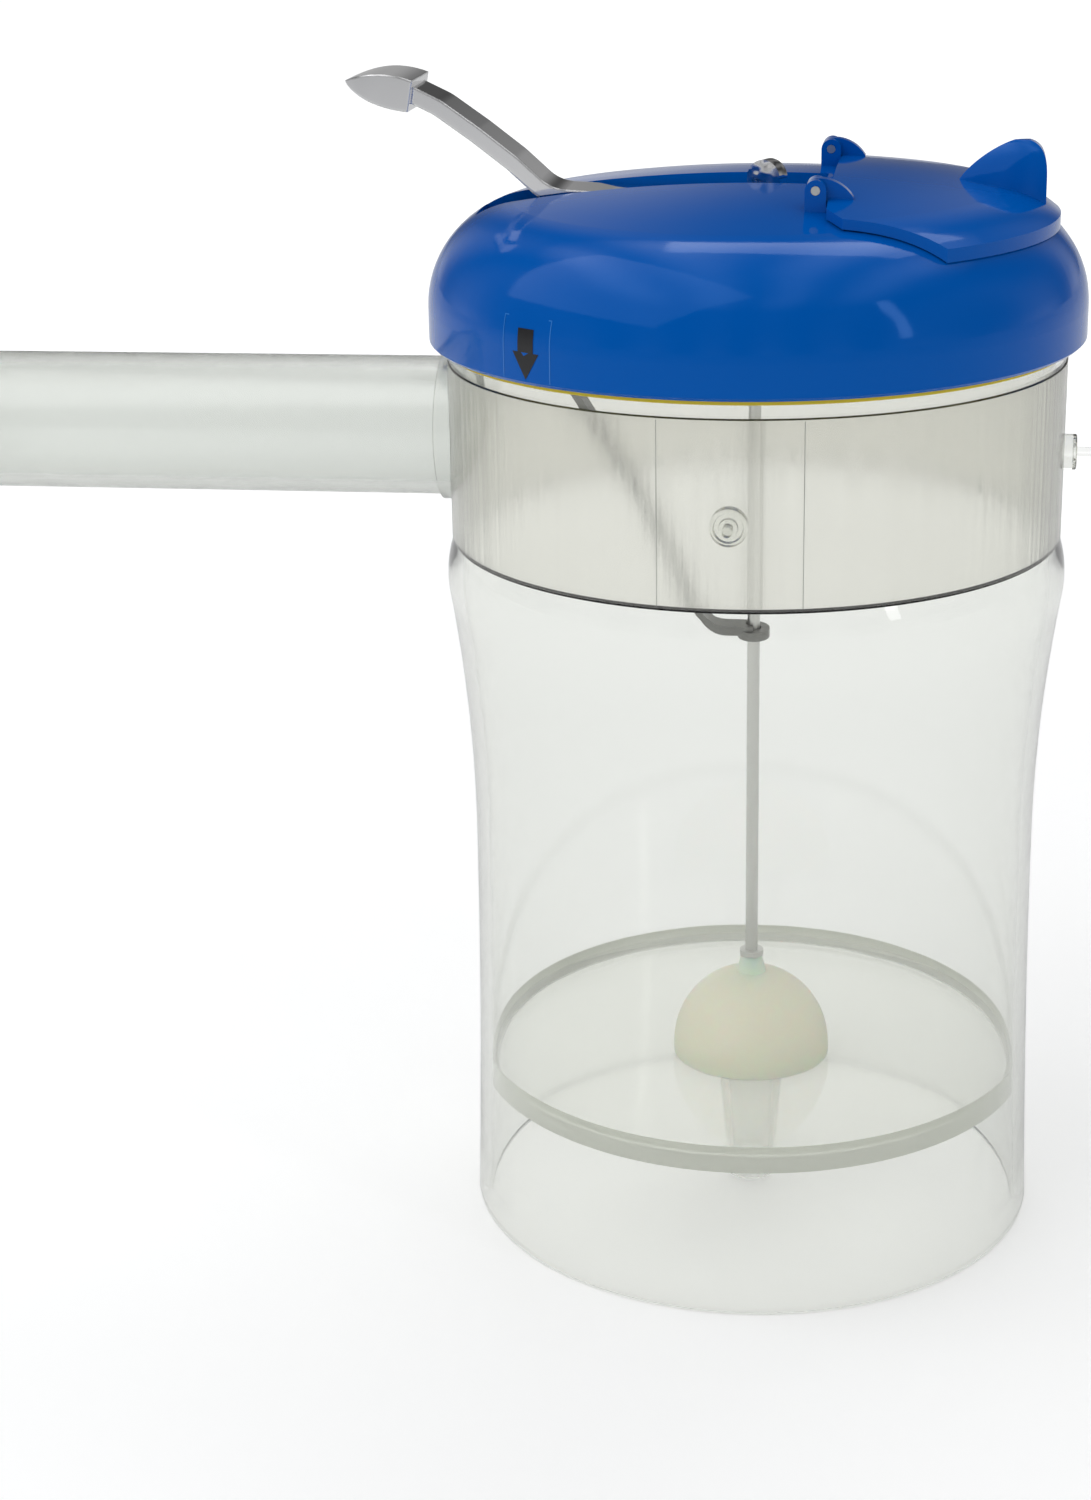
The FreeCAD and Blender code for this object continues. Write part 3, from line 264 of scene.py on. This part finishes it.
def surface_patch(name, heading, outlines, radius_at, proud, body, material):
    """Flat marks wrapped on a turned surface, proud of it by a given height. Each outline is
    (left, right, low, high), its sides given as functions of height."""
    build = bmesh.new()
    for left, right, low, high in outlines:
        before = None
        for row in range(PATCH_ROWS + 1):
            height = low + (high - low) * row / PATCH_ROWS
            radius = radius_at(height) + proud
            pair = [on_turn(build, radius, math.radians(heading) + side / radius, height)
                    for side in (left(height), right(height))]
            if before:
                build.faces.new((before[0], before[1], pair[1], pair[0]))
            before = pair
    bmesh.ops.remove_doubles(build, verts=build.verts, dist=WELD)
    mesh = finished(build, name)
    mesh.shade_smooth()
    new_piece(name, mesh, body, [material])


def fixed(value):
    return lambda height: value


# Camera: where the photograph was taken from
AIM_YAW = math.radians(8.75)
AIM_PITCH = math.radians(19.5)
ROLL = math.radians(1.15)
CAMERA_BACK, CAMERA_LEFT, CAMERA_UP = 0.527, 0.0417, 0.2832
SENSOR_WIDTH = 36  # in millimetres, across the picture's long side
FOCAL_PIXELS, LONG_SIDE_PIXELS = 2780, 1500
camera_data = bpy.data.cameras.new("camera")
camera_data.sensor_width = SENSOR_WIDTH
camera_data.lens = FOCAL_PIXELS * SENSOR_WIDTH / LONG_SIDE_PIXELS
camera = bpy.data.objects.new("camera", camera_data)
bpy.context.scene.collection.objects.link(camera)
forward = Vector((-math.sin(AIM_YAW), math.cos(AIM_YAW), 0))
right = Vector((math.cos(AIM_YAW), math.sin(AIM_YAW), 0))
place = -CAMERA_BACK * forward - CAMERA_LEFT * right + Vector((0, 0, CAMERA_UP))
turn = Matrix.Rotation(AIM_YAW, 4, "Z") @ Matrix.Rotation(math.pi / 2 - AIM_PITCH, 4, "X")
camera.matrix_world = Matrix.Translation(place) @ turn @ Matrix.Rotation(-ROLL, 4, "Z")
bpy.context.scene.camera = camera
bpy.context.scene.view_settings.view_transform = "Standard"


# Jug wall, with the hazy band below its rim
FOOT_RADIUS, FOOT_ROUND = 57.5, 0.8
WAIST_OUTER, WAIST_INNER, WAIST_HEIGHT = 55.9, 53.4, 82.0
FLARE_OUTER, FLARE_INNER, FLARE_HEIGHT = 59.65, 57.15, 130.0
TUCK_OUTER, TUCK_INNER, TUCK_HEIGHT = 58.7, 56.2, 141.8
BAND_RADIUS, BAND_INNER, BAND_LOW, BAND_HIGH = 59.0, 56.8, 142.3, 176.5
NECK_RADIUS, NECK_LOW = 58.75, 176.75
RIM_OUTER, RIM_INNER, RIM_TOP, RIM_EASE = 58.35, 57.2, 184.6, 0.4
OUTER_SWEEP, INNER_SWEEP = 2061, 2063.5
OUTER_FLARE, INNER_FLARE = 309.1, 311.6
OUTER_TUCK, INNER_TUCK = 21.0, 23.5
JUG_EDGE, GATE_EDGE = 28, 35  # degrees, as smooth takes them


def inner_radius(height):
    """The chamber's radius below the waist."""
    drop = WAIST_HEIGHT - height
    return WAIST_INNER + INNER_SWEEP - math.sqrt(INNER_SWEEP ** 2 - drop ** 2)


foot_inner = (inner_radius(0), 0)
foot_flat = (FOOT_RADIUS - FOOT_ROUND, 0)
foot_side = (FOOT_RADIUS, FOOT_ROUND)
waist_out, waist_in = (WAIST_OUTER, WAIST_HEIGHT), (WAIST_INNER, WAIST_HEIGHT)
flare_out, flare_in = (FLARE_OUTER, FLARE_HEIGHT), (FLARE_INNER, FLARE_HEIGHT)
tuck_out, tuck_in = (TUCK_OUTER, TUCK_HEIGHT), (TUCK_INNER, TUCK_HEIGHT)
wall_outline = [foot_inner, foot_flat]
wall_outline += arc(foot_flat, foot_side, FOOT_ROUND, steps=4)
wall_outline += arc(foot_side, waist_out, -OUTER_SWEEP, steps=12)
wall_outline += arc(waist_out, flare_out, -OUTER_FLARE, steps=16)
wall_outline += arc(flare_out, tuck_out, OUTER_TUCK, steps=10)
wall_outline += [
    (BAND_RADIUS, BAND_LOW), (BAND_RADIUS, BAND_HIGH),
    (NECK_RADIUS, NECK_LOW), (NECK_RADIUS, RIM_TOP - RIM_EASE), (RIM_OUTER, RIM_TOP),
    (RIM_INNER, RIM_TOP), (BAND_INNER, RIM_TOP - RIM_EASE),
    (BAND_INNER, BAND_HIGH), (BAND_INNER, BAND_LOW), tuck_in,
]
wall_outline += arc(tuck_in, flare_in, -INNER_TUCK, steps=10)
wall_outline += arc(flare_in, waist_in, INNER_FLARE, steps=16)
wall_outline += arc(waist_in, foot_inner, INNER_SWEEP, steps=12)[:-1]
wall_mesh = turned("jug_wall", wall_outline, segments=256)
smooth(wall_mesh, JUG_EDGE)
jug_wall = new_piece("jug_wall", wall_mesh, "jug", [clear, hazy])
for face in wall_mesh.polygons:
    if BAND_LOW * MM < face.center.z < BAND_HIGH * MM:
        face.material_index = 1


# Floor plate, just clear of the wall, with its seat and a pale rim on its edge, a painted
# highlight for the light seen along the plate's edge
PLATE_GAP = 0.05
PLATE_LOW, PLATE_HIGH, PLATE_ROUND = 29.5, 35.0, 3.0
ARC_SPARE = 0.0001  # the radius of the same arc on the solid has it too
SEAT_RADIUS, SEAT_BORE, SEAT_TOP, SEAT_BOTTOM = 18.0, 6.8, 30.2, 27.7
PAINTED_LIGHT_WIDTH, PAINTED_LIGHT_LOW = 0.7, 29.7
corner = inner_radius(PLATE_HIGH) - PLATE_GAP
plate_edge = inner_radius(PLATE_LOW) - PLATE_GAP
plate_outline = [(plate_edge, PLATE_LOW), (corner, PLATE_HIGH)]
plate_outline += arc((corner, PLATE_HIGH), (corner - PLATE_ROUND, PLATE_HIGH - PLATE_ROUND),
                     -(PLATE_ROUND + ARC_SPARE), steps=8)
plate_outline += [(SEAT_RADIUS, SEAT_TOP), (SEAT_BORE, SEAT_TOP),
                  (SEAT_BORE, SEAT_BOTTOM), (SEAT_RADIUS, SEAT_BOTTOM)]
plate_mesh = turned("jug_floor", plate_outline, segments=192)
smooth(plate_mesh, JUG_EDGE)
new_piece("jug_floor", plate_mesh, "jug", [floor_plastic, painted_edge_light])
# Faces along the plate's outer edge get the painted highlight
for face in plate_mesh.polygons:
    reach = math.hypot(face.center.x, face.center.y)
    if reach > (plate_edge - PAINTED_LIGHT_WIDTH) * MM and face.center.z > PAINTED_LIGHT_LOW * MM:
        face.material_index = 1


# Gate marks on the band: a ring with a moat, and the sheared stub in its middle
GATE_HEIGHT = 158.0
GATE_RADIUS, GATE_SUNK, GATE_RISE, GATE_EASE = 3.4, 0.1, 2.3, 0.2
MOAT_OUTER, MOAT_INNER, MOAT_FLOOR = 2.5, 1.75, 1.6
STUB_RADIUS, STUB_RISE, STUB_EASE = 0.95, 5.3, 0.15
gate_outline = [
    (0, -GATE_SUNK), (GATE_RADIUS, -GATE_SUNK),
    (GATE_RADIUS, GATE_RISE - GATE_EASE), (GATE_RADIUS - GATE_EASE, GATE_RISE),
    (MOAT_OUTER + GATE_EASE, GATE_RISE), (MOAT_OUTER, MOAT_FLOOR),
    (MOAT_INNER, MOAT_FLOOR), (MOAT_INNER - STUB_EASE, GATE_RISE),
    (STUB_RADIUS, GATE_RISE), (STUB_RADIUS, STUB_RISE - GATE_EASE),
    (STUB_RADIUS - STUB_EASE, STUB_RISE), (0, STUB_RISE),
]
for name, heading in (("front_gate", FRONT), ("side_gate", RIGHT_SIDE)):
    outward = (Matrix.Rotation(math.radians(heading), 4, "Z")
               @ Matrix.Translation((BAND_RADIUS * MM, 0, GATE_HEIGHT * MM))
               @ Matrix.Rotation(math.pi / 2, 4, "Y"))
    gate_mesh = turned(name, gate_outline, segments=48, axis=outward)
    smooth(gate_mesh, GATE_EDGE)
    new_piece(name, gate_mesh, "jug", [clear])


# Mould lines on the band, a pair each side of a gate mark
LINE_ANGLE = math.radians(12.65)
LINE_HALF, LINE_MARGIN, LINE_PROUD = 0.09, 0.3, 0.05
for name, heading in (("front_lines", FRONT), ("side_lines", RIGHT_SIDE)):
    lines = []
    for side in (-1, 1):
        middle = side * LINE_ANGLE * BAND_RADIUS
        lines.append((fixed(middle - LINE_HALF), fixed(middle + LINE_HALF),
                      BAND_LOW + LINE_MARGIN, BAND_HIGH - LINE_MARGIN))
    surface_patch(name, heading, lines, fixed(BAND_RADIUS), LINE_PROUD, "jug", line_mark)
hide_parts("jug_body")


# Lid: the printed arrow, and the open-bottomed outline of the patch it stands on, its lighter
# blue a painted highlight on the patch's real outline
LID_RADIUS, SHOULDER_HEIGHT, LID_SHOULDER = 62.3, 186.85, 19.5
ARROW_HEADING = FRONT - 36
ARROW_PROUD, PATCH_PROUD = 0.06, 0.03
HEAD_LOW, HEAD_HIGH, SHAFT_HIGH = 181.4, 186.2, 190.4
HEAD_HALF, SHAFT_HALF = 3.2, 1.9
PATCH_HALF, PATCH_LOW, PATCH_HIGH, EDGE = 5.8, 181.2, 192.4, 0.2


def lid_radius_at(height):
    """The lid's outer radius, on its skirt and on its round shoulder."""
    if height <= SHOULDER_HEIGHT:
        return LID_RADIUS
    rise = height - SHOULDER_HEIGHT
    return LID_RADIUS - LID_SHOULDER + math.sqrt(LID_SHOULDER ** 2 - rise ** 2)


def head_right(height):
    """Half the width of the arrow's head, from the tip at its low end."""
    return HEAD_HALF * (height - HEAD_LOW) / (HEAD_HIGH - HEAD_LOW)


def head_left(height):
    return -head_right(height)


surface_patch("arrow", ARROW_HEADING, [
    (head_left, head_right, HEAD_LOW, HEAD_HIGH),
    (fixed(-SHAFT_HALF), fixed(SHAFT_HALF), HEAD_HIGH, SHAFT_HIGH),
], lid_radius_at, ARROW_PROUD, "lid", black)
# The outline strips, the top one included, carry the painted highlight in lighter blue
surface_patch("arrow_patch_highlight", ARROW_HEADING, [
    (fixed(-PATCH_HALF), fixed(EDGE - PATCH_HALF), PATCH_LOW, PATCH_HIGH),
    (fixed(PATCH_HALF - EDGE), fixed(PATCH_HALF), PATCH_LOW, PATCH_HIGH),
    (fixed(EDGE - PATCH_HALF), fixed(PATCH_HALF - EDGE), PATCH_HIGH - EDGE, PATCH_HIGH),
], lid_radius_at, PATCH_PROUD, "lid", patch_outline_highlight)


# Surroundings: white where they are seen, soft where they light the part, and a room with
# windows where they show in reflections
def math_node(tree, operation, first, second):
    node = tree.nodes.new("ShaderNodeMath")
    node.operation = operation
    tree.links.new(first, node.inputs[0])
    tree.links.new(second, node.inputs[1])
    return node.outputs[0]


def seen_directly(tree):
    """1 for rays that come from the camera, also through clear pieces, and 0 for others."""
    rays = tree.nodes.new("ShaderNodeLightPath")
    return math_node(tree, "MAXIMUM", rays.outputs["Is Camera Ray"],
                     rays.outputs["Is Transmission Ray"])


def map_range(tree, value, **limits):
    """The value mapped between limits, given as From_Min, From_Max, To_Min and To_Max."""
    node = tree.nodes.new("ShaderNodeMapRange")
    for key, limit in limits.items():
        node.inputs[key.replace("_", " ")].default_value = limit
    tree.links.new(value, node.inputs["Value"])
    return node.outputs["Result"]


def background(tree, color, strength):
    node = tree.nodes.new("ShaderNodeBackground")
    node.inputs["Color"].default_value = (*color, 1)
    node.inputs["Strength"].default_value = strength
    return node


def mixed(tree, share, first, second):
    node = tree.nodes.new("ShaderNodeMixShader")
    tree.links.new(share, node.inputs["Fac"])
    tree.links.new(first.outputs[0], node.inputs[1])
    tree.links.new(second.outputs[0], node.inputs[2])
    return node


# Brightness of the room by height, from the horizon up
ROOM_STOPS = [(0.0, 0.42), (0.1, 0.27), (0.4, 0.14), (0.66, 0.12), (0.8, 0.9), (1.0, 1.0)]
SOFT_STRENGTH = 0.52
WINDOW_SCALE, WINDOW_WAVER = 0.9, 2.5
WINDOW_DIM, WINDOW_BRIGHT = 0.35, 1.5
world = bpy.data.worlds.new("studio")
bpy.context.scene.world = world
world.use_nodes = True
tree = world.node_tree
soft = background(tree, (0.98, 0.99, 1.0), SOFT_STRENGTH)
room = background(tree, (1, 1, 1), 1.0)
white = background(tree, (1, 1, 1), 1.0)
direction = tree.nodes.new("ShaderNodeTexCoord")
parts = tree.nodes.new("ShaderNodeSeparateXYZ")
tree.links.new(direction.outputs["Generated"], parts.inputs[0])
ramp = tree.nodes.new("ShaderNodeValToRGB")
while len(ramp.color_ramp.elements) < len(ROOM_STOPS):
    ramp.color_ramp.elements.new(0.5)
for stop, (spot, level) in zip(ramp.color_ramp.elements, ROOM_STOPS):
    stop.position = spot
    stop.color = (level, level, level, 1)
tree.links.new(parts.outputs["Z"], ramp.inputs["Fac"])
tree.links.new(ramp.outputs["Color"], room.inputs["Color"])
windows = tree.nodes.new("ShaderNodeTexWave")
windows.inputs["Scale"].default_value = WINDOW_SCALE
windows.inputs["Distortion"].default_value = WINDOW_WAVER
tree.links.new(direction.outputs["Generated"], windows.inputs["Vector"])
room_level = map_range(tree, windows.outputs["Fac"], To_Min=WINDOW_DIM, To_Max=WINDOW_BRIGHT)
tree.links.new(room_level, room.inputs["Strength"])
rays = tree.nodes.new("ShaderNodeLightPath")
lit = mixed(tree, rays.outputs["Is Glossy Ray"], soft, room)
final = mixed(tree, seen_directly(tree), lit, white)
tree.links.new(final.outputs[0], tree.nodes["World Output"].inputs["Surface"])


# Floor, in metres: it glows a little where it is seen, and more further out
SPAN = 6.0
GLOW_START, GLOW_STOP = 0.3, 1.3
GLOW_NEAR, GLOW_FAR = 0.24, 0.56
floor_mesh = bpy.data.meshes.new("floor")
floor_mesh.from_pydata([(-SPAN, -SPAN, 0), (SPAN, -SPAN, 0), (SPAN, SPAN, 0), (-SPAN, SPAN, 0)],
                       [], [(0, 1, 2, 3)])
floor = bpy.data.objects.new("floor", floor_mesh)
bpy.context.scene.collection.objects.link(floor)
floor_material = new_material("floor", (0.93, 0.93, 0.93), Roughness=0.9)
floor.data.materials.append(floor_material)
tree = floor_material.node_tree
spot = tree.nodes.new("ShaderNodeTexCoord")
distance = tree.nodes.new("ShaderNodeVectorMath")
distance.operation = "LENGTH"
tree.links.new(spot.outputs["Object"], distance.inputs[0])
glow_level = map_range(tree, distance.outputs["Value"], From_Min=GLOW_START,
                       From_Max=GLOW_STOP, To_Min=GLOW_NEAR, To_Max=GLOW_FAR)
glow = tree.nodes.new("ShaderNodeEmission")
tree.links.new(math_node(tree, "MULTIPLY", seen_directly(tree), glow_level),
               glow.inputs["Strength"])
both = tree.nodes.new("ShaderNodeAddShader")
tree.links.new(shader_of(floor_material).outputs[0], both.inputs[0])
tree.links.new(glow.outputs[0], both.inputs[1])
tree.links.new(both.outputs[0], tree.nodes["Material Output"].inputs["Surface"])


# Lamps: name, place, width, height and power, all aimed at the middle of the jug
LAMP_AIM = Vector((0, 0, 0.12))
LAMPS = [
    ("key", (-1.0, -0.5, 1.5), 2.2, 1.6, 12.5),
    ("fill", (1.3, -0.9, 0.9), 0.14, 1.1, 1.8),
    ("back", (0.2, 0.9, 1.7), 1.2, 0.6, 4.5),
]
for name, place, width, height, power in LAMPS:
    data = bpy.data.lights.new(name, "AREA")
    data.shape = "RECTANGLE"
    data.size = width
    data.size_y = height
    data.energy = power
    lamp = bpy.data.objects.new(name, data)
    lamp.location = place
    lamp.rotation_euler = (LAMP_AIM - Vector(place)).to_track_quat("-Z", "Y").to_euler()
    bpy.context.scene.collection.objects.link(lamp)
